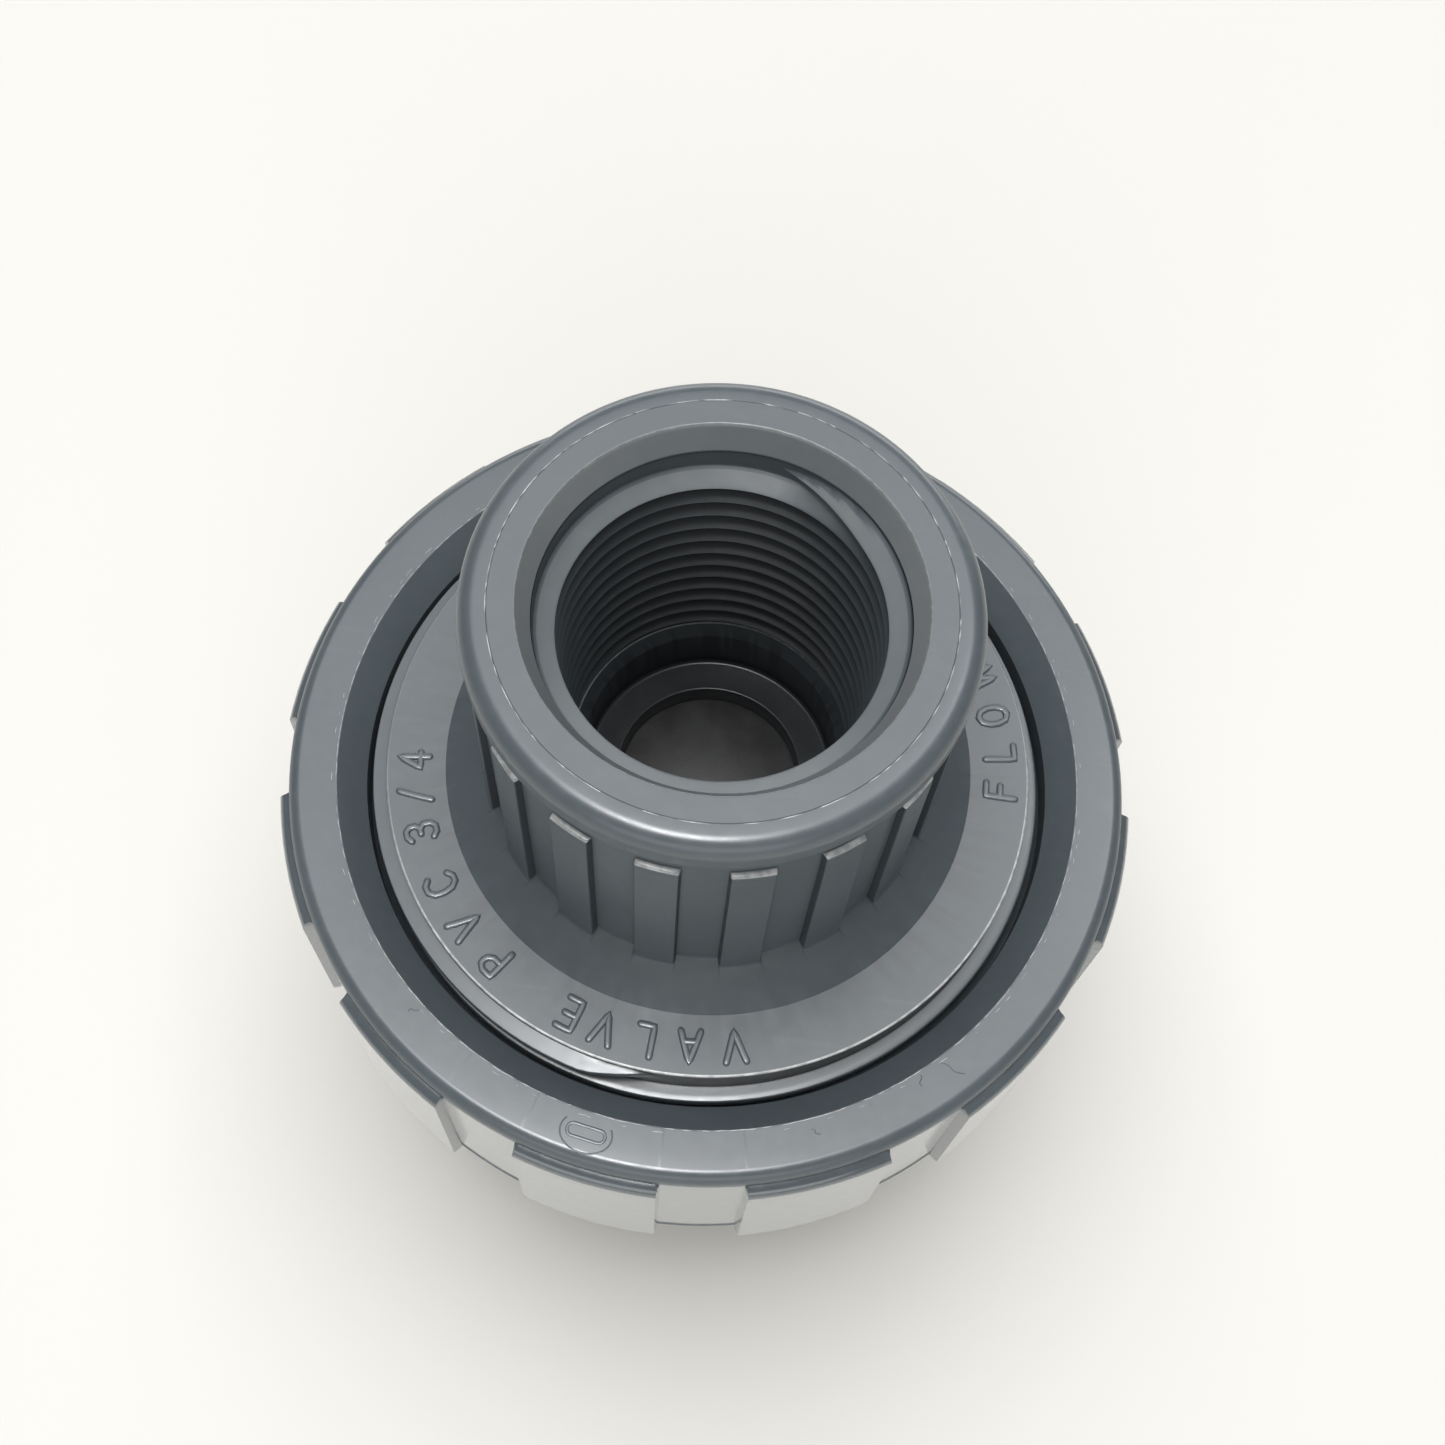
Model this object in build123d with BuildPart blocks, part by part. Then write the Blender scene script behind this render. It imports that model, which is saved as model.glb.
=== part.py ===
from build123d import *
import os

# In-line diaphragm check valve in a union body, for 3/4 inch taper pipe thread.
# Two end pieces are drawn together by a ribbed union nut. The axis is Z, the outlet
# end stands on Z = 0 and the inlet mouth is at the top. All sizes are millimetres.
# The pipe threads and the union thread are modelled as plain walls on their crests.

# ---- driving dimensions: heights along the axis ----
overall_height = 76.0
hub_length = 27.8            # from an end face to the lettered flange face
nut_height = 20.4
nut_face_drop = 0.1          # the nut's top face sits just under the flange face
joint_plane = 37.0           # where the two bodies meet
outlet_flange_bottom = 31.8
lip_clearance = 0.05         # between the nut's lip and the outlet flange

# ---- driving dimensions: end hubs, the same at both ends ----
hub_r = 17.4
collar_r = 18.1
collar_height = 2.8
collar_round = 1.5
collar_bevel = 0.5           # on the collar's lower edge
mouth_r = 14.1               # outer edge of the mouth's lead-in cone
mouth_wall_r = 13.15
mouth_cone_depth = 2.0
mouth_wall_depth = 3.4
pipe_crest_r = 11.3          # mean radius of the pipe thread's crests
pipe_thread_start = 4.2      # depth below the end face
pipe_thread_end = 25.2
bore_r = 10.2
bore_step = 0.8              # height of the cone from thread to smooth bore
quarter_turn = 90

hub_rib_count = 17
hub_rib_width = 3.1
hub_rib_r = 18.0
hub_rib_start = 6.0          # depth of a rib's end below the end face
hub_rib_bevel = 0.5
hub_rib_root = 1.0           # how far a rib runs into the hub's wall
hub_rib_phase = -98.4        # angle of one rib's centre, in degrees

# ---- driving dimensions: inlet flange, seat and cavity ----
skirt_r = 21.4               # outer edge of the skirt round the hub's foot
skirt_rise = 2.4
flange_face_r = 26.2
union_crest_r = 27.7
flange_edge_height = 1.0
union_thread_bottom = 38.4
inlet_nose_r = 25.6
nose_bevel = 0.8
ledge_z = 45.3
seat_z = 43.3
port_r = 7.45
seat_lip_r = 8.6
cavity_roof_z = 43.9
cavity_r = 17.6
cavity_round = 2.0

# ---- driving dimensions: outlet flange and cavity ----
outlet_flange_r = 25.7
ring_seat_r = 19.0
ring_seat_z = 34.0
chamber_r = 14.6
chamber_floor_z = 28.6
chamber_cone = 2.6

# ---- driving dimensions: o-ring and its groove ----
o_ring_mean_r = 22.0
o_ring_cord_r = 1.2
groove_width = 2.8
groove_depth = 2.45

# ---- driving dimensions: union nut ----
nut_wall_r = 34.1            # between the ribs, at the top
nut_foot_r = 34.4            # between the ribs, at the bottom
nut_face_r = 30.1            # inner edge of the top face
nut_lead_in = 2.0            # depth of the lead-in cone
nut_round = 1.2
nut_bore_r = 27.95
nut_lip_r = 18.7
nut_foot_bevel = 0.6
nut_rib_count = 12
nut_rib_angle = 18.6         # width of a rib, in degrees
nut_rib_top_r = 35.05
nut_rib_foot_r = 35.35
nut_rib_start = 1.7          # depth of a rib's end below the top face
nut_rib_bevel = 0.6
nut_rib_root_r = 33.0
nut_rib_phase = -100.2       # angle of one rib's centre, in degrees

# ---- driving dimensions: diaphragm and its support ----
dome_r = 28.0                # radius of the diaphragm's upper face
seat_gap = 0.03
diaphragm_r = 14.5
diaphragm_thickness = 1.9
stem_r = 2.0
stem_bottom_z = 36.3
knob_r = 2.6
knob_height = 1.4
travel_gap = 2.0             # from the closed diaphragm down to the disc
support_disc_r = 12.6
support_disc_thickness = 2.4
stem_hole_r = 2.05
support_ring_in_r = 16.0
support_ring_out_r = 18.9
support_ring_top_z = 36.9
leg_count = 4
leg_width = 3.0
leg_bottom_z = 34.2
leg_height = 1.6
leg_overlap = 0.6            # how far a leg runs into the disc and into the ring

# ---- worked-out sizes ----
flange_face_z = overall_height - hub_length
nut_top_z = flange_face_z - nut_face_drop
nut_bottom_z = nut_top_z - nut_height
lip_top_z = outlet_flange_bottom - lip_clearance
dome_centre_z = seat_z - seat_gap - (dome_r**2 - port_r**2) ** 0.5
dome_top_z = dome_centre_z + dome_r
under_dome_r = dome_r - diaphragm_thickness
support_dome_r = under_dome_r - travel_gap
support_under_r = support_dome_r - support_disc_thickness
leg_mid_r = (support_disc_r + support_ring_in_r) / 2
leg_length = support_ring_in_r - support_disc_r + 2 * leg_overlap

os.makedirs("parts", exist_ok=True)


def sphere_z(radius, r):
    """Height of a sphere about the dome's centre, at distance r from the axis."""
    return dome_centre_z + (radius**2 - r**2) ** 0.5


def inlet_z(depth):
    """Height of a point that lies this far below the inlet's end face."""
    return overall_height - depth


def outlet_z(depth):
    """Height of a point that lies this far in from the outlet's end face."""
    return depth


def ribbed_hub_profile(end_z, foot_z):
    """Outline of one end hub, from the foot of its outside round to the bore's end."""
    Polyline(
        (hub_r, foot_z),
        (hub_r, end_z(collar_height)),
        (collar_r - collar_bevel, end_z(collar_height)),
        (collar_r, end_z(collar_height - collar_bevel)),
        (collar_r, end_z(collar_round)),
    )
    JernArc(
        start=(collar_r, end_z(collar_round)),
        tangent=(0, end_z(0) - end_z(collar_round)),
        radius=collar_round,
        arc_size=quarter_turn if end_z(0) > end_z(collar_round) else -quarter_turn,
    )
    Polyline(
        (collar_r - collar_round, end_z(0)),
        (mouth_r, end_z(0)),
        (mouth_wall_r, end_z(mouth_cone_depth)),
        (mouth_wall_r, end_z(mouth_wall_depth)),
        (pipe_crest_r, end_z(pipe_thread_start)),
        (pipe_crest_r, end_z(pipe_thread_end)),
        (bore_r, end_z(pipe_thread_end + bore_step)),
    )


def hub_rib_ends(end_z, foot_z):
    """Radial outline of one hub rib, bevelled at its free end."""
    Polyline(
        (hub_r - hub_rib_root, foot_z),
        (hub_rib_r, foot_z),
        (hub_rib_r, end_z(hub_rib_start + hub_rib_bevel)),
        (hub_r, end_z(hub_rib_start)),
        (hub_r - hub_rib_root, end_z(hub_rib_start)),
        close=True,
    )


# ---- one grip rib for each hub: an upright plate whose outline is drawn radially ----
with BuildPart() as inlet_rib:
    with BuildSketch(Plane.XZ):
        with BuildLine():
            hub_rib_ends(inlet_z, flange_face_z)
        make_face()
    extrude(amount=hub_rib_width / 2, both=True)

with BuildPart() as outlet_rib:
    with BuildSketch(Plane.XZ):
        with BuildLine():
            hub_rib_ends(outlet_z, outlet_flange_bottom)
        make_face()
    extrude(amount=hub_rib_width / 2, both=True)

# ---- inlet body: ribbed hub, lettered flange, union thread, seat and cavity ----
with BuildPart() as inlet_body:
    with BuildSketch(Plane.XZ):
        with BuildLine():
            ribbed_hub_profile(inlet_z, flange_face_z + skirt_rise)
            Polyline(
                (bore_r, inlet_z(pipe_thread_end + bore_step)),
                (bore_r, ledge_z),
                (port_r, ledge_z),
                (port_r, seat_z),
                (seat_lip_r, seat_z),
                (seat_lip_r, cavity_roof_z),
                (cavity_r - cavity_round, cavity_roof_z),
                (cavity_r, cavity_roof_z - cavity_round),
                (cavity_r, joint_plane),
                (inlet_nose_r, joint_plane),
                (inlet_nose_r, union_thread_bottom - nose_bevel),
                (union_crest_r, union_thread_bottom + nose_bevel),
                (union_crest_r, flange_face_z - flange_edge_height),
                (flange_face_r, flange_face_z - flange_edge_height),
                (flange_face_r, flange_face_z),
                (skirt_r, flange_face_z),
                (hub_r, flange_face_z + skirt_rise),
            )
        make_face()
    revolve(axis=Axis.Z)
    with PolarLocations(0, hub_rib_count, start_angle=hub_rib_phase):
        add(inlet_rib.part)
inlet_body.part.label = "inlet_body"

# ---- outlet body: ribbed hub, plain flange with the o-ring groove, flow chamber ----
with BuildPart() as outlet_body:
    with BuildSketch(Plane.XZ):
        with BuildLine():
            ribbed_hub_profile(outlet_z, outlet_flange_bottom)
            Polyline(
                (bore_r, outlet_z(pipe_thread_end + bore_step)),
                (bore_r, chamber_floor_z - chamber_cone / 2),
                (chamber_r, chamber_floor_z + chamber_cone / 2),
                (chamber_r, ring_seat_z),
                (ring_seat_r, ring_seat_z),
                (ring_seat_r, joint_plane),
                (o_ring_mean_r - groove_width / 2, joint_plane),
                (o_ring_mean_r - groove_width / 2, joint_plane - groove_depth),
                (o_ring_mean_r + groove_width / 2, joint_plane - groove_depth),
                (o_ring_mean_r + groove_width / 2, joint_plane),
                (outlet_flange_r, joint_plane),
                (outlet_flange_r, outlet_flange_bottom),
                (hub_r, outlet_flange_bottom),
            )
        make_face()
    revolve(axis=Axis.Z)
    with PolarLocations(0, hub_rib_count, start_angle=hub_rib_phase):
        add(outlet_rib.part)
outlet_body.part.label = "outlet_body"

# ---- union nut: one rib first, swept round the axis, then the shell with twelve ribs ----
with BuildPart() as nut_rib:
    with BuildSketch(Plane.XZ.rotated((0, 0, -nut_rib_angle / 2))):
        with BuildLine():
            Polyline(
                (nut_rib_root_r, nut_bottom_z + nut_foot_bevel),
                (nut_rib_foot_r, nut_bottom_z + nut_foot_bevel),
                (nut_rib_top_r, nut_top_z - nut_rib_start - nut_rib_bevel),
                (nut_rib_top_r - nut_rib_bevel, nut_top_z - nut_rib_start),
                (nut_rib_root_r, nut_top_z - nut_rib_start),
                close=True,
            )
        make_face()
    revolve(axis=Axis.Z, revolution_arc=nut_rib_angle)

with BuildPart() as union_nut:
    with BuildSketch(Plane.XZ):
        with BuildLine():
            Polyline(
                (nut_face_r, nut_top_z),
                (nut_bore_r, nut_top_z - nut_lead_in),
                (nut_bore_r, lip_top_z),
                (nut_lip_r, lip_top_z),
                (nut_lip_r, nut_bottom_z),
                (nut_foot_r - nut_foot_bevel, nut_bottom_z),
                (nut_foot_r, nut_bottom_z + nut_foot_bevel),
                (nut_wall_r, nut_top_z - nut_round),
            )
            JernArc(
                start=(nut_wall_r, nut_top_z - nut_round),
                tangent=(0, 1),
                radius=nut_round,
                arc_size=quarter_turn,
            )
            Line((nut_wall_r - nut_round, nut_top_z), (nut_face_r, nut_top_z))
        make_face()
    revolve(axis=Axis.Z)
    with PolarLocations(0, nut_rib_count, start_angle=nut_rib_phase):
        add(nut_rib.part)
union_nut.part.label = "union_nut"

# ---- body o-ring, lying in the outlet flange's groove ----
with BuildPart() as body_o_ring:
    with BuildSketch(Plane.XZ):
        with Locations((o_ring_mean_r, joint_plane - groove_depth + o_ring_cord_r)):
            Circle(o_ring_cord_r)
    revolve(axis=Axis.Z)
body_o_ring.part.label = "body_o_ring"

# ---- diaphragm: domed rubber disc on a short stem with a retaining knob ----
with BuildPart() as diaphragm:
    with BuildSketch(Plane.XZ):
        with BuildLine():
            ThreePointArc(
                (0, dome_top_z),
                (diaphragm_r / 2, sphere_z(dome_r, diaphragm_r / 2)),
                (diaphragm_r, sphere_z(dome_r, diaphragm_r)),
            )
            Line(
                (diaphragm_r, sphere_z(dome_r, diaphragm_r)),
                (diaphragm_r, sphere_z(under_dome_r, diaphragm_r)),
            )
            ThreePointArc(
                (diaphragm_r, sphere_z(under_dome_r, diaphragm_r)),
                (diaphragm_r / 2, sphere_z(under_dome_r, diaphragm_r / 2)),
                (stem_r, sphere_z(under_dome_r, stem_r)),
            )
            Polyline(
                (stem_r, sphere_z(under_dome_r, stem_r)),
                (stem_r, stem_bottom_z + knob_height),
                (knob_r, stem_bottom_z + knob_height),
                (stem_r, stem_bottom_z),
                (0, stem_bottom_z),
                (0, dome_top_z),
            )
        make_face()
    revolve(axis=Axis.Z)
diaphragm.part.label = "diaphragm"

# ---- support disc: convex backing disc, four legs and the ring clamped between the bodies ----
with BuildPart() as support_disc:
    with BuildSketch(Plane.XZ):
        with BuildLine():
            ThreePointArc(
                (stem_hole_r, sphere_z(support_dome_r, stem_hole_r)),
                (support_disc_r / 2, sphere_z(support_dome_r, support_disc_r / 2)),
                (support_disc_r, sphere_z(support_dome_r, support_disc_r)),
            )
            Line(
                (support_disc_r, sphere_z(support_dome_r, support_disc_r)),
                (support_disc_r, sphere_z(support_under_r, support_disc_r)),
            )
            ThreePointArc(
                (support_disc_r, sphere_z(support_under_r, support_disc_r)),
                (support_disc_r / 2, sphere_z(support_under_r, support_disc_r / 2)),
                (stem_hole_r, sphere_z(support_under_r, stem_hole_r)),
            )
            Line(
                (stem_hole_r, sphere_z(support_under_r, stem_hole_r)),
                (stem_hole_r, sphere_z(support_dome_r, stem_hole_r)),
            )
        make_face()
    revolve(axis=Axis.Z)
    with BuildSketch(Plane.XY.offset(ring_seat_z)):
        Circle(support_ring_out_r)
        Circle(support_ring_in_r, mode=Mode.SUBTRACT)
    extrude(amount=support_ring_top_z - ring_seat_z)
    with BuildSketch(Plane.XY.offset(leg_bottom_z)):
        with PolarLocations(leg_mid_r, leg_count):
            Rectangle(leg_length, leg_width)
    extrude(amount=leg_height)
support_disc.part.label = "support_disc"

for piece in (inlet_body, outlet_body, union_nut, body_o_ring, diaphragm, support_disc):
    export_step(piece.part, f"parts/{piece.part.label}.step")
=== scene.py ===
import math

import bmesh
import bpy
import numpy as np
from mathutils import Matrix, Vector


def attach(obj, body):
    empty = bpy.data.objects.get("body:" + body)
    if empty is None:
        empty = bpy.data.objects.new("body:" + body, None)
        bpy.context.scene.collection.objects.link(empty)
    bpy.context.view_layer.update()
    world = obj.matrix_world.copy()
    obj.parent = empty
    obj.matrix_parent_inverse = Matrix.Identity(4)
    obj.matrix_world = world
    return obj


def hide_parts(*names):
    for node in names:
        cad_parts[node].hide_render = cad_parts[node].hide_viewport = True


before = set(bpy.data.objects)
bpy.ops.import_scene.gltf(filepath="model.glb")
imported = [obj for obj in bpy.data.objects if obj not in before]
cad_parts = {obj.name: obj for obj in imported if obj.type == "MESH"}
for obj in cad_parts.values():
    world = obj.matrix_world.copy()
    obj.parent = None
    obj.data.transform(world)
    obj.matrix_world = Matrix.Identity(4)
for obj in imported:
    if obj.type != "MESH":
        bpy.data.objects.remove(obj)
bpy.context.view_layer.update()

# ---- driving dimensions, in millimetres and degrees ----
# Heights are above the outlet's end face. Depths are below the nearer end face.
MM = 0.001
TOP = 76.0

# the pipe thread, and the mouth above it
PIPE_PITCH = 25.4 / 14
PIPE_TAPER = 1 / 32  # radius lost for each millimetre of depth
PIPE_CREST = 11.61  # crest radius where the thread starts
PIPE_HEIGHT = 1.47  # from crest to root
PIPE_ROUND = 0.06  # of the crest
PIPE_START = 3.2
PIPE_END = 25.2
PIPE_FADE = 43 / 360  # turns over which the first crest rises
PIPE_START_AZ = 33.0
MOUTH_R = 13.15
MOUTH_DEPTH = 2.2
MOUTH_EDGE_R = 14.12
STEP_R = 11.0  # the step at the thread's deep end
BORE_R = 10.2

# the hub: collar, wall and grip ribs
COLLAR_R = 18.1
COLLAR_ROLL = 1.36
COLLAR_DEPTH = 2.75
FACE_RING_R = 15.99  # a fine ring cut in the end face
HUB_R = 17.36
HUB_WALL_DEPTH = 3.4
HUB_DRAFT = 0.08 / 22
HUB_RIBS = 17
HUB_RIB_AZ = -98.4
HUB_RIB_HALF = 4.95
HUB_RIB_SIDE = 0.3
HUB_RIB_R = 17.9
HUB_RIB_DRAFT = 0.01
# a rib's rounded end: depths, and the share of its full height that it has there
RIB_END_DEPTHS = (5.45, 5.46, 5.5, 5.53, 5.58, 5.66, 5.8)
RIB_END_SHARES = (0, 0.3, 0.66, 0.8, 0.9, 0.97, 1)
SKIRT_TOP_R = 17.4

# the inlet's flange, the union thread on its edge, and the seat inside
FLANGE_DEPTH = 27.8
FLANGE_Z = TOP - FLANGE_DEPTH
SKIRT_RISE = 2.4
SKIRT_R = 21.4
RIM_R = 26.2
RIM_ROUND = 0.13
RIM_STEP_R = RIM_R - 0.02
RIM_STEP_Z = FLANGE_Z - 0.38
RIM_HIGHLIGHT_AZ = -75.0  # the side on which the rim gets its painted highlight
UNION_PITCH = 3.0
UNION_CREST = 27.4
UNION_ROOT = 26.16
UNION_START_AZ = -94.0
UNION_START_Z = 46.98
UNION_END_Z = 38.4
UNION_RISE = 11  # degrees over which the first crest rises
UNION_FLANK = 0.703  # height over the crest line at which the flat flank meets the root
UNION_ROUND = 0.25
NOSE_R = 25.6
CHAMBER_ROOF_R = 17.6
CHAMBER_ROOF_Z = 43.9
JOINT_Z = 37.0  # where the two bodies meet
SEAT_RING_R = 8.6
SEAT_Z = 43.3
PORT_R = 7.45
LEDGE_Z = 45.3

# the outlet body
OUTLET_FLANGE_DEPTH = 31.8
OUTLET_FLANGE_R = 25.7
CHAMBER_R = 14.6
RING_SEAT_R = 19.0
RING_SEAT_Z = 34.0
GROOVE_IN_R = 20.6
GROOVE_OUT_R = 23.4
GROOVE_Z = 34.55

# the nut
NUT_TOP = 48.05
NUT_BOTTOM = 27.7
NUT_RIBS = 12
NUT_RIB_AZ = -100.2
NUT_RIB_HALF = 9.3
NUT_RIB_SIDE = 0.28
NUT_RIB_R = 35.03
NUT_RIB_END_Z = 45.6
NUT_RIB_END = 0.9  # height of a rib's rounded end
NUT_FACE_R = 32.0
NUT_EDGE_R = 34.1
NUT_EDGE_ROUND = 1.07
NUT_WALL_R = 34.12
NUT_WALL_TOP = 46.6
NUT_WALL_HEIGHT = 18.9
NUT_BORE_R = 27.95
NUT_THREAD_TOP = 43.4
NUT_THREAD_END = 36.0
NUT_THREAD_R = 27.93
NUT_THREAD_PLAY = 0.2  # between the nut's thread and the inlet's
NUT_LIP_R = 18.7
NUT_LIP_Z = 31.75

# the diaphragm and the o-ring
DOME_TOP_R = 28.0
DOME_UNDER_R = 26.1
DOME_SEAT_Z = 43.27
DIAPHRAGM_R = 14.5
STEM_R = 2.0
STEM_BOTTOM_Z = 36.3
KNOB_R = 2.55
KNOB_TOP_Z = 37.7
O_RING_R = 22.0
O_RING_Z = 35.75
O_RING_HALF = 1.2

# the lettering
LETTER_LOW = 22.7
LETTER_HIGH = 25.1
LETTER_SIZE = LETTER_HIGH - LETTER_LOW
LETTER_MIDDLE = (LETTER_HIGH + LETTER_LOW) / 2
STROKE_HALF = 0.29
STROKE_HEIGHT = 0.2

# edges turned by more than this stay sharp
SHELL_SHARP = 25
TURNED_SHARP = 32
SMALL_SHARP = 60

# the attribute of wear and painted light: above 0 the plastic is coloured white, for real flash and rubbed
# wear and as painted highlight and painted reflection; below 0 it is coloured dark, for real mould marks and
# as painted shade
# below 0, painted shade: in the cleft, down the bore, on the seat and port, on the hub wall and beside the
# ribs
CLEFT_SHADE = -0.8
BORE_SHADE = -0.6
SEAT_SHADE = -0.75
HUB_SHADE = -0.12
RIB_SIDE_SHADE = -0.7
# above 0: painted highlight on the rib ends, which also look rubbed white, and on the mouth's edge; a thin
# light line painted on the bore's step; painted reflection on the nut wall; the face ring's line and the
# flash are the plastic's own white
RIB_END_RUB_AND_HIGHLIGHT = 0.65
MOUTH_EDGE_HIGHLIGHT = 0.3
STEP_LIGHT_LINE = 0.4
RING_WEAR = 0.8
FLASH_WEAR = 0.8
NUT_WALL_REFLECTION = 0.1


# ---- mesh helpers ----
def rounded(points, steps=5):
    """Corner points (r, z, fillet) to an outline with round corners."""
    out = []
    last = len(points) - 1
    for i, (x, y, fillet) in enumerate(points):
        here = Vector((x, y))
        if fillet == 0 or i in (0, last):
            out.append((x, y))
            continue
        a = (Vector(points[i - 1][:2]) - here).normalized()
        b = (Vector(points[i + 1][:2]) - here).normalized()
        half = a.angle(b) / 2
        centre = here + (a + b).normalized() * (fillet / math.sin(half))
        start = here + a * (fillet / math.tan(half)) - centre
        end = here + b * (fillet / math.tan(half)) - centre
        turn = start.angle_signed(end)
        for k in range(steps + 1):
            arm = Matrix.Rotation(-turn * k / steps, 2) @ start
            out.append(tuple(centre + arm))
    return out


class Shell:
    """Rows of points joined into quads. A row runs round the axis."""

    def __init__(self):
        self.points = []
        self.quads = []
        self.wear_and_light_values = []
        self.count = 0

    def rows(self, r, z, az, shift=0, wear_and_light=0.0):
        """Adds rows. On a helix, a row's last point joins the first one of the row that is shift rows on."""
        r, z, az, wear_and_light = np.broadcast_arrays(r, z, az, wear_and_light)
        a = np.radians(az)
        n_rows, n_cols = r.shape
        index = self.count + np.arange(n_rows * n_cols).reshape(n_rows, n_cols)
        beside = np.full_like(index, -1)
        beside[:, :-1] = index[:, 1:]
        low, high = max(0, -shift), min(n_rows, n_rows - shift)
        beside[low:high, -1] = index[low + shift:high + shift, 0]
        quads = np.stack([index[:-1], index[1:], beside[1:], beside[:-1]], -1).reshape(-1, 4)
        points = np.stack([r * np.cos(a), r * np.sin(a), z], -1).reshape(-1, 3)
        self.add(points, quads[(quads >= 0).all(1)], wear_and_light.reshape(-1))

    def add(self, points, quads, wear_and_light_values):
        self.points.append(points)
        self.quads.append(quads)
        self.wear_and_light_values.append(wear_and_light_values)
        self.count += len(points)

    def lathe(self, outline, az, wear_and_light=()):
        """Turns an outline round the axis. The list of wear and painted light gives (height from, radius
        from, radius to, amount).
        """
        line = np.array(outline)
        wear_and_light_values = np.zeros((len(line), 1))
        for low_z, low_r, high_r, amount in wear_and_light:
            wear_and_light_values[(line[:, 1] >= low_z) & (line[:, 0] >= low_r) & (line[:, 0] <= high_r)] = amount
        self.rows(line[:, :1], line[:, 1:], az[None, :], wear_and_light=wear_and_light_values)

    def turn_over(self, about_az):
        """Half a turn about a level axis, which takes one end's shape to the other end."""
        a = math.radians(about_az)
        turn = np.array(Matrix.Rotation(math.pi, 3, Vector((math.cos(a), math.sin(a), 0))))
        self.points = [p @ turn.T + np.array([0, 0, TOP]) for p in self.points]

    def build(self, name, body, nodes, slot, material, sharp):
        """Makes the piece. It rides with the body and stands in for the nodes."""
        mesh = bpy.data.meshes.new(name)
        points = np.concatenate(self.points) * MM
        mesh.from_pydata(points.tolist(), [], np.concatenate(self.quads).tolist())
        piece = bpy.data.objects.new(name, mesh)
        bpy.context.scene.collection.objects.link(piece)
        wear_and_light = mesh.attributes.new("wear_and_light", "FLOAT", "POINT")
        wear_and_light.data.foreach_set("value", np.concatenate(self.wear_and_light_values).astype(np.float32))
        clean(mesh)
        mesh.polygons.foreach_set("use_smooth", [True] * len(mesh.polygons))
        mesh.set_sharp_from_angle(angle=math.radians(sharp))
        mesh.materials.append(material)
        even = piece.modifiers.new("even_normals", "WEIGHTED_NORMAL")
        even.keep_sharp = True
        even.weight = 80
        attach(piece, body)
        if nodes:
            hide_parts(*nodes)
        return piece


def clean(mesh):
    """Joins points that meet, and drops faces that have no area."""
    work = bmesh.new()
    work.from_mesh(mesh)
    bmesh.ops.remove_doubles(work, verts=work.verts, dist=0.0002 * MM)
    bmesh.ops.dissolve_degenerate(work, edges=work.edges, dist=0.0001 * MM)
    work.to_mesh(mesh)
    work.free()


def ribbed_angles(count, phase, pattern):
    """Angles round the axis, packed closely at each rib's sides."""
    step = 360 / count
    angles = [phase + step * k + p for k in range(count) for p in pattern]
    return np.sort(np.array(angles) % 360)


def from_rib(az, count, phase):
    """Angle from the middle of the nearest rib."""
    step = 360 / count
    return np.abs((az - phase + step / 2) % step - step / 2)


def rib_height(az, count, phase, half, side):
    """1 on a rib, 0 between ribs, with a steep side of that width in degrees."""
    return np.clip((half + side - from_rib(az, count, phase)) / side, 0, 1)


def wander(az, seed, lumps):
    """A smooth uneven value round the axis, from 0 to 1, the same on every run."""
    total = np.zeros(len(az))
    for k in range(lumps):
        waves = 3 + (seed * 7 + k * k * 5 + k * 11) % 170
        total += np.sin(np.radians(az) * waves + seed * 1.7 + k * 2.3)
    return np.clip(0.5 + total / (2.24 * math.sqrt(lumps)), 0, 1)


EVEN_AZ = np.arange(0, 360, 2.0)
HUB_AZ = ribbed_angles(
    HUB_RIBS,
    HUB_RIB_AZ,
    (-5.5, -5.25, -5.0, -4.8, -3, -1, 1, 3, 4.8, 5.0, 5.25, 5.5, 7, 9, 11, 13, 14.6),
)
NUT_AZ = ribbed_angles(
    NUT_RIBS,
    NUT_RIB_AZ,
    (-9.6, -9.3, -9.0, -7.5, -5, -2.5, 0, 2.5, 5, 7.5, 9.0, 9.3, 9.6, 11, 13, 15, 17, 19),
)


# ---- threads ----
def pipe_crest_r(depth):
    return PIPE_CREST - (depth - PIPE_START) * PIPE_TAPER


def pipe_thread_r(depth, az):
    """The female taper pipe thread, as radius at a depth below the end face."""
    crest = pipe_crest_r(depth)
    root = np.minimum(crest + PIPE_HEIGHT, MOUTH_R)
    r = root.copy()
    for turn in range(-1, 14):
        along = (PIPE_START_AZ - az) / 360 + turn
        there = np.clip((along + PIPE_FADE) / PIPE_FADE, 0, 1)
        top = root - (root - crest) * np.sin(there * np.pi / 2)
        off = depth - PIPE_START - PIPE_PITCH * along
        # the flanks stand at 60 degrees to each other, with the crest rounded between them
        flank = top + np.sqrt(3 * off**2 + PIPE_ROUND**2) - PIPE_ROUND
        r = np.where(there > 0, np.minimum(r, flank), r)
    return r


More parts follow.
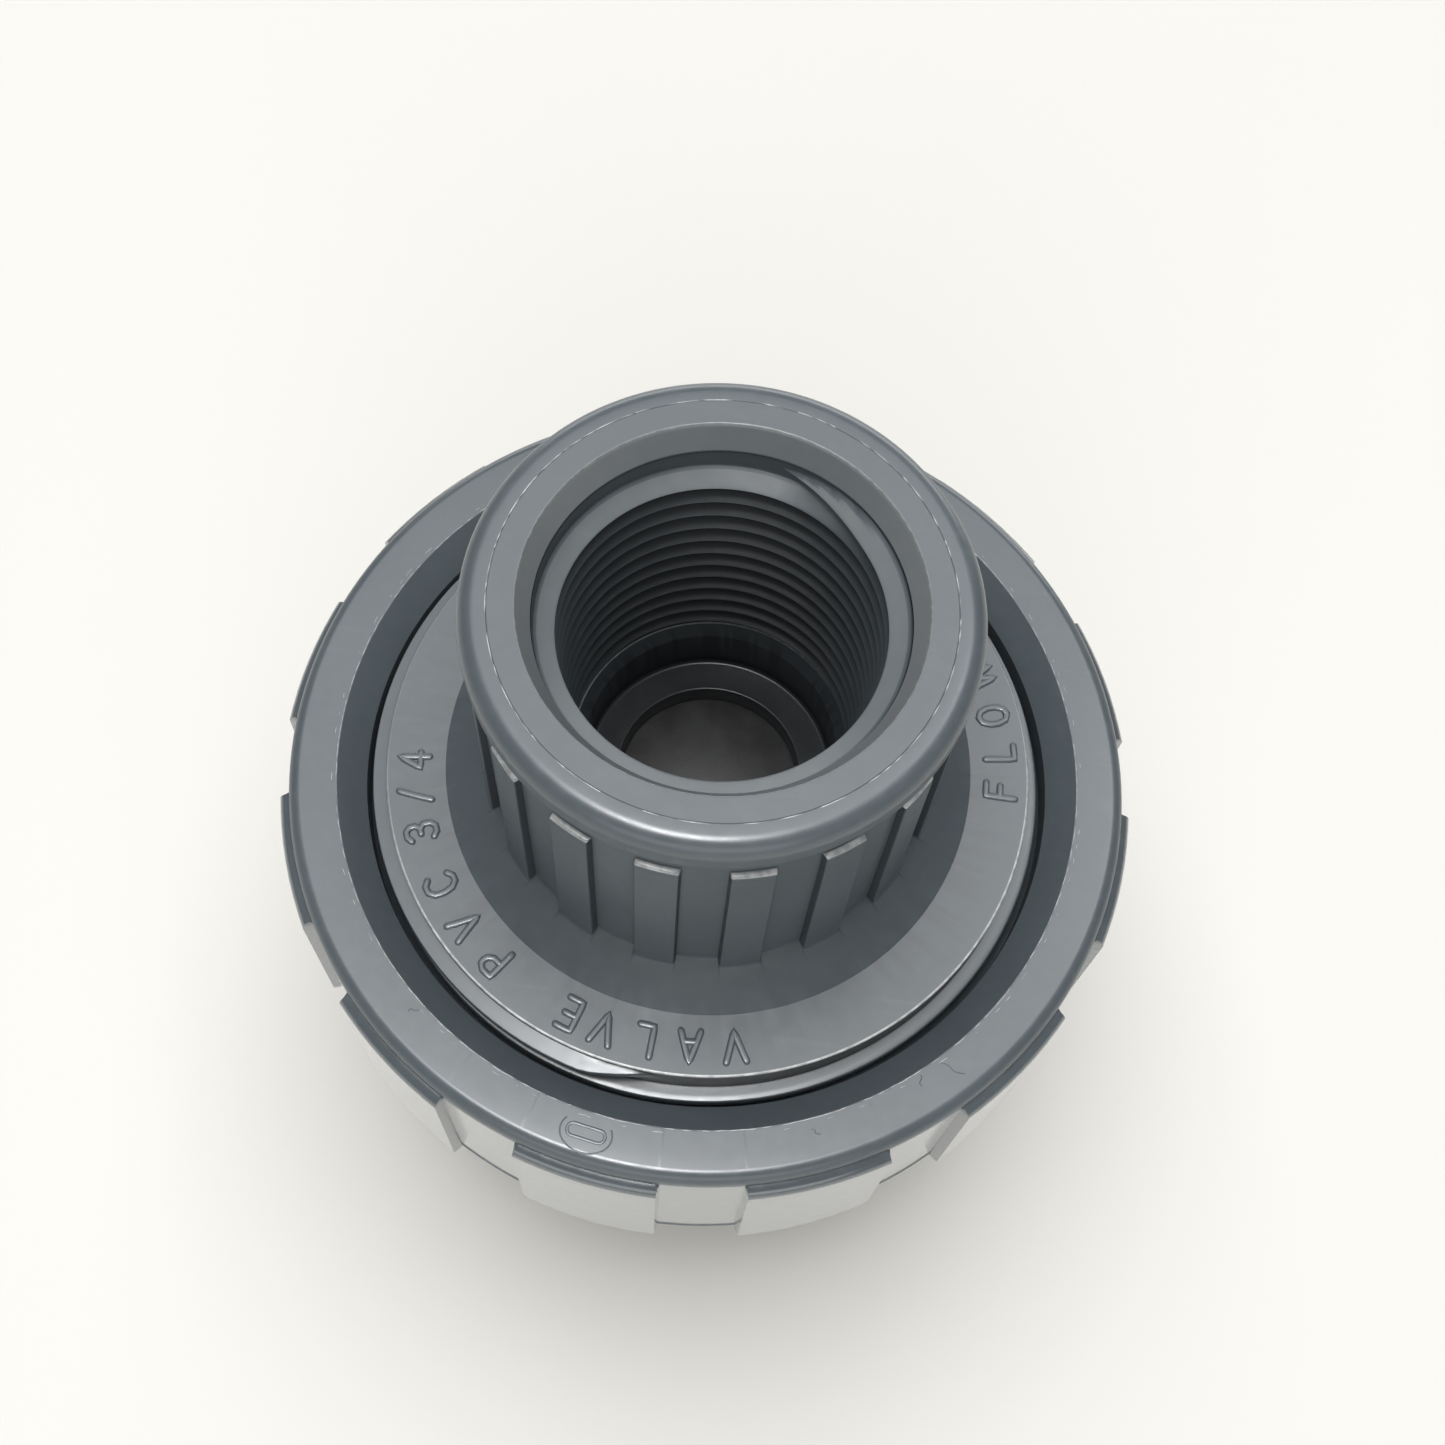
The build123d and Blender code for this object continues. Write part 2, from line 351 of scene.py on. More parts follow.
def union_thread_r(z, az, endless=False):
    """The male union thread's radius: a flat upper flank, a round crest, a sloping lower flank."""
    r = np.full(np.broadcast(z, az).shape, UNION_ROOT)
    turned = ((UNION_START_AZ - az) % 360) / 360
    for turn in range(-2 if endless else 0, 6):
        along = turned + turn
        there = 1.0 if endless else np.clip(along * 360 / UNION_RISE, 0, 1)
        off = z - UNION_START_Z + UNION_PITCH * along
        if endless:
            # the nut's thread leaves this much room on both sides of the crest
            off = np.sign(off) * np.maximum(0, np.abs(off) - 0.12)
        past = np.clip(off - 0.45, 0, UNION_ROUND)
        crest = UNION_CREST - UNION_ROUND + np.sqrt(np.clip(UNION_ROUND**2 - past**2, 0, None))
        # the flat flank tilts by 6 degrees on the first turn and by 2 after it
        slope = np.tan(np.radians(np.interp(along, (0.3, 0.7), (6, 2))))
        upper = UNION_ROOT + (UNION_FLANK - off) / slope
        lower = UNION_CREST + np.minimum(0, off + UNION_ROUND)
        ridge = np.minimum(np.minimum(crest, upper), lower)
        r = np.maximum(r, ridge - (1 - there) * (UNION_CREST - UNION_ROOT))
    return r


# where rows fall within a turn, in turns, and on the union thread's flat flank, as heights over the crest
PIPE_OFFSETS = (0, 0.02, 0.06, 0.15, 0.27, 0.39, 0.47, 0.53, 0.61, 0.73, 0.85, 0.94, 0.98)
UNION_HEIGHTS = (0.45, 0.52, 0.58, 0.62, 0.645, 0.665, 0.68, 0.69, 0.698, 0.704)
UNION_OFFSETS = (0, 0.083, 0.2, 0.35, 0.49, 0.63, *[1 - h / UNION_PITCH for h in UNION_HEIGHTS[::-1]])


def pipe_rows(az):
    """Depths on rows that follow the pipe thread, from deep to shallow."""
    turns = int((PIPE_END - PIPE_START) / PIPE_PITCH) + 3
    along = np.array([k + offset for k in range(-2, turns) for offset in PIPE_OFFSETS])
    depth = PIPE_START + PIPE_PITCH * (along[:, None] + (PIPE_START_AZ - az[None, :]) / 360)
    return np.clip(depth, MOUTH_DEPTH, PIPE_END)[::-1]


def union_rows(z_high, z_low, az):
    """Heights on rows that follow the union thread, from high to low."""
    base = UNION_START_Z - UNION_PITCH * UNION_START_AZ / 360 + UNION_PITCH
    turns = int(math.ceil((base + UNION_PITCH - z_low) / UNION_PITCH)) + 1
    drop = np.array([k + offset for k in range(-1, turns) for offset in UNION_OFFSETS]) * UNION_PITCH
    z = base - drop[:, None] + UNION_PITCH * az[None, :] / 360
    return np.clip(z, z_low, z_high)


# ---- the hub, which both ends share ----
def add_pipe_thread(shell):
    """The thread with its painted light and shade, and the step down to the bore."""
    depth = pipe_rows(EVEN_AZ)
    angle = np.broadcast_to(EVEN_AZ[None, :], depth.shape)
    thread_r = pipe_thread_r(depth, angle)
    valley = np.clip((thread_r - pipe_crest_r(depth)) / PIPE_HEIGHT, 0, 1)
    # painted shade, deeper down the bore and in the thread's valleys
    darkening = -np.interp(depth, (MOUTH_DEPTH, 3.2, 5.0), (0, 0.1, 1.0)) * (0.35 + 0.6 * valley**0.6)
    # above the first crest the flank gets painted light and the root a lighter painted shade, and both fade
    # into the bore's painted shade as the turn ends
    turned = ((PIPE_START_AZ - angle) / 360) % 1
    first_crest = PIPE_START + PIPE_PITCH * turned
    next_turn = depth > first_crest - PIPE_PITCH + 0.1
    share = np.where(next_turn, np.clip((1 - turned) / PIPE_FADE, 0, 1), 1)
    flank_light_and_shade = np.interp(valley, (0.8, 1.0), (0.1, -0.35))
    wear_and_light_values = np.where(depth < first_crest + 0.1, darkening + share * (flank_light_and_shade - darkening), darkening)
    shell.rows(thread_r, TOP - depth, angle, shift=len(PIPE_OFFSETS), wear_and_light=wear_and_light_values)
    step_z = TOP - PIPE_END
    step = [
        (BORE_R, step_z - 0.8),
        (STEP_R - 0.1, step_z - 0.1),
        (STEP_R - 0.03, step_z - 0.03),
        (STEP_R, step_z),
        (STEP_R + 0.1, step_z),
        (STEP_R + 0.16, step_z),
        (12.5, step_z),
    ]
    # painted shade on the bore below the step, and a thin light line painted along the step's edge
    shell.lathe(step, EVEN_AZ, [(0, 0, COLLAR_R, BORE_SHADE), (0, STEP_R - 0.01, STEP_R + 0.11, STEP_LIGHT_LINE)])


def add_collar(shell):
    """The mouth's cone, the end face with its fine ring, and the rolled collar."""
    outline = rounded(
        [
            (MOUTH_R, TOP - MOUTH_DEPTH, 0),
            (MOUTH_R, TOP - 2.0, 0.1),
            (13.97, TOP - 0.3, 0),
            (MOUTH_EDGE_R, TOP, 0.1),
            (MOUTH_EDGE_R + 0.16, TOP, 0),
            (FACE_RING_R - 0.04, TOP, 0),
            (FACE_RING_R, TOP - 0.03, 0),
            (FACE_RING_R + 0.04, TOP, 0),
            (FACE_RING_R + 0.07, TOP, 0),
            (FACE_RING_R + 0.1, TOP, 0),
            (COLLAR_R, TOP, COLLAR_ROLL),
            (COLLAR_R, TOP - COLLAR_DEPTH, 0.25),
            (HUB_R, TOP - COLLAR_DEPTH - 0.2, 0.25),
            (HUB_R, TOP - HUB_WALL_DEPTH, 0),
        ]
    )
    r, z = np.array(outline).T[:, :, None]
    cone = (r > MOUTH_R - 0.05) & (r < MOUTH_EDGE_R + 0.03) & (z > TOP - MOUTH_DEPTH + 0.05)
    edge = cone & (z > TOP - 0.1)
    # painted light on the mouth's cone, strongest at its left and right sides, and a painted highlight along
    # the mouth's edge; the face ring's white line is the plastic's own
    cone_light = 0.08 + 0.13 * np.sin(np.radians(HUB_AZ - HUB_RIB_AZ)) ** 2
    ring = (r > FACE_RING_R + 0.03) & (r < FACE_RING_R + 0.08)
    ring_wear = RING_WEAR * np.clip(wander(HUB_AZ, 4, 14) * 4 - 2, 0, 1)
    wear_and_light_values = np.where(edge, MOUTH_EDGE_HIGHLIGHT, cone * cone_light[None, :]) + ring * ring_wear[None, :]
    shell.rows(r, z, HUB_AZ[None, :], wear_and_light=wear_and_light_values)


def add_ribbed_wall(shell, foot_depth, skirt_rise, flange_r):
    """The ribbed wall, and the skirt that slopes from its foot out to the flange."""
    rib = rib_height(HUB_AZ, HUB_RIBS, HUB_RIB_AZ, HUB_RIB_HALF, HUB_RIB_SIDE)
    wall_depths = np.linspace(8, foot_depth - skirt_rise - 0.4, 7)
    depths = np.array([HUB_WALL_DEPTH, 5.3, *RIB_END_DEPTHS, 6.4, *wall_depths])
    wall = HUB_R + HUB_DRAFT * (depths - 3)
    full = HUB_RIB_R + HUB_RIB_DRAFT * (depths - 6)
    grow = np.interp(depths, RIB_END_DEPTHS, RIB_END_SHARES)
    r = wall[:, None] + ((full - wall) * grow)[:, None] * rib[None, :]
    depth = np.broadcast_to(depths[:, None], r.shape)

    def skirt_depth(at_r):
        return foot_depth - skirt_rise * (flange_r - at_r) / (flange_r - SKIRT_TOP_R)

    foot_r = r[-1] + 0.005
    out_r = foot_r + 0.3
    foot = [
        (foot_r, skirt_depth(foot_r) - 0.25),
        (foot_r + 0.03, skirt_depth(foot_r) - 0.1),
        (foot_r + 0.12, skirt_depth(foot_r + 0.12) - 0.015),
    ]
    for share in (0, 0.3, 0.6, 1.0):
        skirt_r = out_r * (1 - share) + flange_r * share
        foot.append((skirt_r, skirt_depth(skirt_r)))
    r = np.concatenate([r, [row_r for row_r, _ in foot]])
    depth = np.concatenate([depth, [row_depth for _, row_depth in foot]])
    on_end = (depth > RIB_END_DEPTHS[0]) & (depth < 5.62)
    beside_rib = np.abs(from_rib(HUB_AZ, HUB_RIBS, HUB_RIB_AZ) - HUB_RIB_HALF - 0.17) < 0.14
    on_wall = (depth > 5.6) & (depth < foot_depth - 2)
    # painted highlight on the rib ends, which also look rubbed white; painted shade on the wall beside each
    # rib; a little painted shade over the rest of the wall
    wear_and_light_values = RIB_END_RUB_AND_HIGHLIGHT * on_end * rib[None, :] + RIB_SIDE_SHADE * on_wall * beside_rib[None, :]
    shell.rows(r, TOP - depth, HUB_AZ[None, :], wear_and_light=np.where(wear_and_light_values == 0, HUB_SHADE, wear_and_light_values))


def hub_end(foot_depth, skirt_rise, flange_r):
    """One end's hub, with its end face up."""
    shell = Shell()
    add_pipe_thread(shell)
    add_collar(shell)
    add_ribbed_wall(shell, foot_depth, skirt_rise, flange_r)
    return shell


# ---- the three moulded bodies ----
def build_inlet(material):
    shell = hub_end(FLANGE_DEPTH, SKIRT_RISE, SKIRT_R)
    flange = rounded(
        [
            (SKIRT_R, FLANGE_Z, 0),
            (RIM_R - 0.2, FLANGE_Z, 0),
            (RIM_R, FLANGE_Z, RIM_ROUND),
            (RIM_STEP_R, RIM_STEP_Z, 0),
        ],
        4,
    )
    r, z = np.array(flange).T[:, :, None]
    # painted highlight along the rim's rounded edge, strongest on the front side
    on_rim = (r >= RIM_R - 0.16) & (z >= FLANGE_Z - 0.1)
    towards = np.cos(np.radians(HUB_AZ - RIM_HIGHLIGHT_AZ))
    rim_highlight = 0.12 + 0.63 * np.clip(1.5 * towards + 0.3, 0, 1)
    shell.rows(r, z, HUB_AZ[None, :], wear_and_light=on_rim * rim_highlight[None, :])
    # the union thread, and the ledge between it and the rim, with painted shade on the ledge and on the
    # thread's root in the cleft
    z = union_rows(RIM_STEP_Z, UNION_END_Z, EVEN_AZ)
    angle = np.broadcast_to(EVEN_AZ[None, :], z.shape)
    lead = NOSE_R + 0.1 + np.maximum(0, z - 37.6) * 1.3
    r = np.minimum(union_thread_r(z, angle), lead)
    ledge = np.stack([np.full(len(EVEN_AZ), RIM_STEP_R), union_thread_r(RIM_STEP_Z, EVEN_AZ)])
    shell.rows(ledge, RIM_STEP_Z, EVEN_AZ[None, :], wear_and_light=CLEFT_SHADE)
    in_root = r < UNION_ROOT + 0.03
    shell.rows(r, z, angle, shift=-len(UNION_OFFSETS), wear_and_light=CLEFT_SHADE * in_root)
    # the nose that seals on the o-ring, the chamber, the diaphragm's seat and the bore
    nose = rounded(
        [
            (NOSE_R + 0.3, UNION_END_Z + 0.02, 0),
            (NOSE_R, JOINT_Z + 1.0, 0.2),
            (NOSE_R, JOINT_Z, 0.4),
            (CHAMBER_ROOF_R, JOINT_Z, 0.3),
            (CHAMBER_ROOF_R, CHAMBER_ROOF_Z, 2.0),
            (SEAT_RING_R, CHAMBER_ROOF_Z, 0.2),
            (SEAT_RING_R, SEAT_Z, 0.2),
            (PORT_R, SEAT_Z, 0.15),
            (PORT_R, LEDGE_Z, 0.2),
            (BORE_R, LEDGE_Z, 0.35),
            (BORE_R, 50.0, 0),
        ]
    )
    # painted shade on the seat ring, the port, the ledge and the bore above them
    shell.lathe(nose, EVEN_AZ, [(43.0, 0, BORE_R + 0.1, SEAT_SHADE)])
    return shell.build("inlet_shell", "inlet_end", ["inlet_body"], "body_pvc", material, SHELL_SHARP)


def build_outlet(material):
    shell = hub_end(OUTLET_FLANGE_DEPTH, 0.0, OUTLET_FLANGE_R)
    shell.turn_over(HUB_RIB_AZ)
    inside = rounded(
        [
            (OUTLET_FLANGE_R - 0.5, OUTLET_FLANGE_DEPTH, 0),
            (OUTLET_FLANGE_R, OUTLET_FLANGE_DEPTH, 0.3),
            (OUTLET_FLANGE_R, JOINT_Z, 0.35),
            (GROOVE_OUT_R, JOINT_Z, 0.15),
            (GROOVE_OUT_R, GROOVE_Z, 0.3),
            (GROOVE_IN_R, GROOVE_Z, 0.3),
            (GROOVE_IN_R, JOINT_Z, 0.15),
            (RING_SEAT_R, JOINT_Z, 0.25),
            (RING_SEAT_R, RING_SEAT_Z, 0.15),
            (CHAMBER_R, RING_SEAT_Z, 0.2),
            (CHAMBER_R, 29.9, 0.6),
            (BORE_R, 27.3, 0.4),
            (BORE_R, 26.0, 0),
        ]
    )
    shell.lathe(inside, EVEN_AZ)
    return shell.build("outlet_shell", "outlet_end", ["outlet_body"], "body_pvc", material, SHELL_SHARP)


def build_nut(material, wall_material):
    shell = Shell()
    mouth = rounded(
        [
            (NUT_BORE_R, NUT_THREAD_TOP, 0),
            (NUT_BORE_R + 0.05, 46.0, 0),
            (30.13, NUT_TOP - 0.02, 0),
            (30.3, NUT_TOP, 0),
            (NUT_FACE_R, NUT_TOP, 0),
        ],
        3,
    )
    shell.lathe(mouth, NUT_AZ)
    edge = [
        (NUT_FACE_R, NUT_TOP, 0),
        (NUT_EDGE_R, NUT_TOP, NUT_EDGE_ROUND),
        (NUT_WALL_R, NUT_WALL_TOP, 0),
    ]
    shell.lathe(rounded(edge, 7), NUT_AZ)
    foot = rounded(
        [
            (33.9, NUT_BOTTOM, 0),
            (NUT_LIP_R, NUT_BOTTOM, 0.4),
            (NUT_LIP_R, NUT_LIP_Z, 0.2),
            (NUT_THREAD_R, NUT_LIP_Z, 0),
            (NUT_THREAD_R, NUT_THREAD_END, 0),
        ]
    )
    shell.lathe(foot, EVEN_AZ)
    z = union_rows(NUT_THREAD_TOP, NUT_THREAD_END, EVEN_AZ)[::-1]
    angle = np.broadcast_to(EVEN_AZ[None, :], z.shape)
    r = np.clip(union_thread_r(z, angle, endless=True) + NUT_THREAD_PLAY, 26.4, NUT_THREAD_R)
    lead = NUT_BORE_R - (NUT_THREAD_TOP - z) * 1.1
    shell.rows(np.maximum(r, lead), z, angle, shift=len(UNION_OFFSETS))
    build_nut_walls(wall_material)
    return shell.build("nut_shell", "nut", ["union_nut"], "nut_pvc", material, SHELL_SHARP)


def build_nut_walls(material):
    """The nut's outer wall: grip ribs with rounded tops, a fine line near the foot, and a rounded foot."""
    shell = Shell()
    z = np.array(
        [NUT_WALL_TOP, 46.52, 46.49, 46.44, 46.34, 46.18, 45.98, 45.8, 45.6, 44.0, 41.0, 38.0, 35.0, 32.0]
        + [29.2, 28.95, 28.85, 28.7, 28.6, 28.3, 28.1, 27.9, 27.76, NUT_BOTTOM]
    )
    fall = (NUT_WALL_TOP - z) / NUT_WALL_HEIGHT
    fine_line = 0.09 * ((z < 28.9) & (z > 28.65))
    wall = NUT_WALL_R + 0.28 * fall + fine_line
    full = NUT_RIB_R + 0.3 * fall
    grow = np.sqrt(1 - np.clip((z - NUT_RIB_END_Z) / NUT_RIB_END, 0, 1) ** 2)
    rib = rib_height(NUT_AZ, NUT_RIBS, NUT_RIB_AZ, NUT_RIB_HALF, NUT_RIB_SIDE)
    under = np.clip((28.3 - z) / 0.6, 0, 1)
    r = wall[:, None] + ((full - wall) * grow)[:, None] * rib[None, :] - (0.5 * under**2)[:, None]
    # painted reflection of the white floor, lightening the wall between its top and its foot
    wear_and_light_values = NUT_WALL_REFLECTION * np.clip((46.3 - z) / 1.5, 0, 1) * np.clip((z - 27.6) / 0.8, 0, 1)
    shell.rows(r, z[:, None], NUT_AZ[None, :], wear_and_light=wear_and_light_values[:, None])
    return shell.build("nut_walls", "nut", [], "nut_pvc", material, SHELL_SHARP)


# ---- the small pieces ----
def build_flash(name, material, r, height, seed, keep):
    """A thin torn ridge of moulding flash along the inner edge of the nut's face."""
    width = 0.09
    az = np.arange(0, 360, 0.4)
    there = np.clip((wander(az, seed, 14) - keep) / 0.4, 0, 1)
    middle = r + (wander(az, seed + 5, 5) - 0.5) * width * 0.6
    foot_z = np.full(len(az), NUT_TOP - 0.04)
    top_z = NUT_TOP + height * there - 0.01
    lower_z = NUT_TOP + height * there * 0.8 - 0.01
    shell = Shell()
    shell.rows(
        np.stack([middle - width / 2, middle - width / 5, middle + width / 5, middle + width / 2]),
        np.stack([foot_z, top_z, lower_z, foot_z]),
        az[None, :],
        wear_and_light=FLASH_WEAR * there[None, :],
    )
    return shell.build(name, "nut", [], "nut_pvc", material, SMALL_SHARP)


def build_turned(name, outline, body, node, material):
    shell = Shell()
    shell.lathe(outline, EVEN_AZ)
    return shell.build(name, body, [node], "rubber", material, TURNED_SHARP)


def build_o_ring(material):
    outline = []
    for a in np.linspace(2 * math.pi, 0, 33):
        # at half height the points are lifted a little, where the mould's two halves met
        lift = 0.03 if abs(math.sin(a)) < 0.1 else 0
        outline.append((O_RING_R + O_RING_HALF * math.cos(a), O_RING_Z + O_RING_HALF * math.sin(a) + lift))
    return build_turned("o_ring", outline, "outlet_end", "body_o_ring", material)


def dome_z(radius, r):
    """Height of a dome of that radius. The upper dome passes just under the seat at the port's edge."""
    centre = DOME_SEAT_Z - math.sqrt(DOME_TOP_R**2 - PORT_R**2)
    return centre + math.sqrt(radius**2 - r**2)


def build_diaphragm(material):
    """A domed rubber disc on a stem, which ends in the knob that holds it in its support."""
    edge_r = DIAPHRAGM_R - 0.1
    corner_r = DIAPHRAGM_R - 0.2
    outline = [
        (0.001, STEM_BOTTOM_Z),
        (1.7, STEM_BOTTOM_Z),
        (KNOB_R, KNOB_TOP_Z - 0.2),
        (KNOB_R, KNOB_TOP_Z),
        (STEM_R, KNOB_TOP_Z + 0.02),
        (STEM_R, dome_z(DOME_UNDER_R, STEM_R) - 0.1),
    ]
    for r in (STEM_R + 0.12, *np.linspace(3, corner_r, 12)):
        outline.append((r, dome_z(DOME_UNDER_R, r)))
    outline.append((DIAPHRAGM_R, dome_z(DOME_UNDER_R, edge_r) + 0.2))
    outline.append((DIAPHRAGM_R, dome_z(DOME_TOP_R, edge_r) - 0.25))
    for r in (corner_r, *np.linspace(13.6, 0.8, 18)):
        outline.append((r, dome_z(DOME_TOP_R, r)))
    outline.append((0.001, dome_z(DOME_TOP_R, 0)))
    return build_turned("diaphragm_disc", outline, "valve", "diaphragm", material)


# ---- the generic lettering on the flange ----
# each letter is a width and its strokes, in a cell one high with its baseline at 0
GLYPHS = {
    "V": (0.62, [[(0, 1), (0.31, 0), (0.62, 1)]]),
    "A": (0.66, [[(0, 0), (0.33, 1), (0.66, 0)], [(0.12, 0.34), (0.54, 0.34)]]),
    "L": (0.48, [[(0, 1), (0, 0), (0.48, 0)]]),
    "E": (0.5, [[(0.5, 1), (0, 1), (0, 0), (0.5, 0)], [(0, 0.52), (0.42, 0.52)]]),
    "P": (
        0.54,
        [[(0, 0), (0, 1), (0.34, 1), (0.52, 0.88), (0.54, 0.74), (0.5, 0.6), (0.34, 0.48), (0, 0.48)]],
    ),
    "C": (
        0.6,
        [
            [(0.6, 0.84), (0.44, 0.98), (0.22, 0.98), (0.05, 0.8), (0, 0.5)]
            + [(0.05, 0.2), (0.22, 0.02), (0.44, 0.02), (0.6, 0.16)]
        ],
    ),
    "3": (
        0.52,
        [
            [(0.02, 0.88), (0.16, 1), (0.36, 1), (0.5, 0.86), (0.5, 0.66), (0.36, 0.53), (0.2, 0.53)],
            [(0.36, 0.53), (0.52, 0.4), (0.52, 0.16), (0.38, 0.01), (0.15, 0.01), (0, 0.14)],
        ],
    ),
    "/": (0.44, [[(0, -0.02), (0.44, 1.02)]]),
    "4": (0.58, [[(0.42, 0), (0.42, 1), (0, 0.3), (0.58, 0.3)]]),
    "F": (0.5, [[(0, 0), (0, 1), (0.5, 1)], [(0, 0.52), (0.42, 0.52)]]),
    "O": (
        0.62,
        [
            [(0.31, 0), (0.1, 0.1), (0, 0.36), (0, 0.64), (0.1, 0.9), (0.31, 1)]
            + [(0.52, 0.9), (0.62, 0.64), (0.62, 0.36), (0.52, 0.1), (0.31, 0)]
        ],
    ),
    "W": (0.84, [[(0, 1), (0.2, 0), (0.42, 0.8), (0.64, 0), (0.84, 1)]]),
}


def letter_point(u, v, width, az, outward):
    """A point of a letter that stands at that angle, with its top outward or inward."""
    across = (u - width / 2) * LETTER_SIZE / LETTER_MIDDLE
    if outward:
        r = LETTER_LOW + v * LETTER_SIZE
        angle = math.radians(az) - across
    else:
        r = LETTER_HIGH - v * LETTER_SIZE
        angle = math.radians(az) + across
    return r * math.cos(angle), r * math.sin(angle)


def stroke_path(line, width, az, outward):
    """One stroke's path on the flange face, as x and y."""
    path = []
    for (u0, v0), (u1, v1) in zip(line, line[1:]):
        steps = max(2, int(math.hypot(u1 - u0, v1 - v0) * 8))
        last = 1 if (u1, v1) == line[-1] else 0
        for k in range(steps + last):
            u = u0 + (u1 - u0) * k / steps
            v = v0 + (v1 - v0) * k / steps
            path.append(letter_point(u, v, width, az, outward))
    kept = [path[0]]
    for point in path[1:]:
        if math.dist(point, kept[-1]) > 0.02:
            kept.append(point)
    return np.array(kept)


def add_stroke(shell, path, height, half=STROKE_HALF, rise=STROKE_HEIGHT, wear_and_light_values=0.0):
    """A raised stroke with a round top and round ends."""
    ahead = np.gradient(path, axis=0)
    ahead /= np.linalg.norm(ahead, axis=1)[:, None]
    side = np.stack([-ahead[:, 1], ahead[:, 0]], 1)
    caps = [math.radians(a) for a in (0, 30, 60)]
    centres = [path[0] - ahead[0] * half * math.cos(a) for a in caps]
    scales = [math.sin(a) for a in caps]
    sides = [side[0]] * len(caps)
    centres += list(path)
    scales += [1.0] * len(path)
    sides += list(side)
    for a in caps[::-1]:
        centres.append(path[-1] + ahead[-1] * half * math.cos(a))
        scales.append(math.sin(a))
        sides.append(side[-1])
    centres, scales, sides = np.array(centres), np.array(scales)[:, None], np.array(sides)
    turns = np.linspace(0, math.pi, 9)
    across = np.cos(turns)[None, :] * half * scales
    x = centres[:, :1] + sides[:, :1] * across
    y = centres[:, 1:] + sides[:, 1:] * across
    z = height - 0.03 + (rise + 0.03) * np.sin(turns)[None, :] ** 0.45 * (0.35 + 0.65 * scales)
    index = shell.count + np.arange(x.size).reshape(x.shape)
    quads = np.stack([index[:-1, :-1], index[:-1, 1:], index[1:, 1:], index[1:, :-1]], -1)
    shell.add(np.stack([x, y, z], -1).reshape(-1, 3), quads.reshape(-1, 4), np.full(x.size, wear_and_light_values))


def build_lettering(material):
    shell = Shell()
    # a word, the angle each letter stands at, and whether its letters have their tops outward
    words = [
        ("VALVE", (-79.7, -88.0, -96.4, -104.2, -111.0), True),
        ("PVC", (-128.4, -137.3, -146.7), True),
        ("3/4", (-158.1, -165.7, -173.1), True),
        ("FLOW", (-0.5, 7.5, 15.5, 24.5), False),
    ]
    for word, places, outward in words:
        for letter, az in zip(word, places):
            width, lines = GLYPHS[letter]
            for line in lines:
                add_stroke(shell, stroke_path(line, width, az, outward), FLANGE_Z)
    return shell.build("flange_lettering", "inlet_end", [], "body_pvc", material, SMALL_SHARP)


def build_mould_marks(material):
    """The ejector's round witness line on the nut's face, with a slot shape inside it, and a few scores."""
    shell = Shell()
    at = math.radians(-101.3)
    outward = np.array([math.cos(at), math.sin(at)])
    along = np.array([-math.sin(at), math.cos(at)])
    centre = outward * 31.75
    a = np.linspace(math.radians(-208), math.radians(28), 40)[:, None]
    round_line = centre - outward * 2.0 * np.sin(a) * 0.75 + along * 2.0 * np.cos(a)
    add_stroke(shell, round_line, NUT_TOP, 0.07, 0.012, -0.45)
    a = np.linspace(0, 2 * math.pi, 41)[:, None]
    ends = np.sign(np.cos(a))
    slot = centre + along * (ends + 0.48 * np.cos(a)) + outward * 0.48 * np.sin(a)
    add_stroke(shell, slot, NUT_TOP, 0.13, 0.05, 0.0)
    # each score: the angle and radius it starts at, the radius it ends at, and the degrees it leans
    scores = (
        (-49.0, 30.6, 32.3, 1.6),
        (-52.5, 30.5, 31.2, -0.8),
        (-70.0, 31.0, 31.5, 0.8),
        (-131.0, 30.7, 31.3, -0.9),
    )
    for az, from_r, to_r, lean in scores:
        step = np.linspace(0, 1, 7)
        r = from_r + (to_r - from_r) * step
        angle = np.radians(az + lean * step + 0.25 * np.sin(step * 7))
        score = np.stack([r * np.cos(angle), r * np.sin(angle)], 1)
        add_stroke(shell, score, NUT_TOP, 0.045, 0.008, -0.6)
    return shell.build("nut_mould_marks", "nut", [], "nut_pvc", material, SMALL_SHARP)


# ---- materials ----
# the white stands for rubbed wear and for painted highlight and reflection; the black for real marks and for
# painted shade
RUBBED_AND_HIGHLIGHT_WHITE = (0.8, 0.81, 0.8, 1)
MARK_AND_SHADE_BLACK = (0.012, 0.013, 0.014, 1)
PVC_LIGHT = (0.098, 0.117, 0.130, 1)
PVC_DARK = (0.085, 0.102, 0.114, 1)
SUPPORT_LIGHT = (0.085, 0.095, 0.1, 1)
SUPPORT_DARK = (0.075, 0.084, 0.09, 1)
RUBBER_BLACK = (0.012, 0.012, 0.0125, 1)


def new_material(name):
    material = bpy.data.materials.new(name)
    material.use_nodes = True
    tree = material.node_tree
    shader = tree.nodes["Principled BSDF"]
    return material, tree, shader


def put(tree, kind, inputs=(), **settings):
    """Adds a node, sets its inputs to values or links them to sockets."""
    node = tree.nodes.new(kind)
    for key, value in settings.items():
        setattr(node, key, value)
    for key, value in dict(inputs).items():
        join(tree, value, node.inputs[key])
    return node


def join(tree, value, socket):
    if isinstance(value, bpy.types.NodeSocket):
        tree.links.new(value, socket)
    else:
        socket.default_value = value


def noise(tree, place, scale, detail=4.0):
    inputs = {"Vector": place, "Scale": scale, "Detail": detail, "Roughness": 0.55}
    return put(tree, "ShaderNodeTexNoise", inputs).outputs["Fac"]


def remap(tree, value, low, high, to_low, to_high):
    inputs = {"Value": value, "From Min": low, "From Max": high, "To Min": to_low, "To Max": to_high}
    return put(tree, "ShaderNodeMapRange", inputs).outputs["Result"]


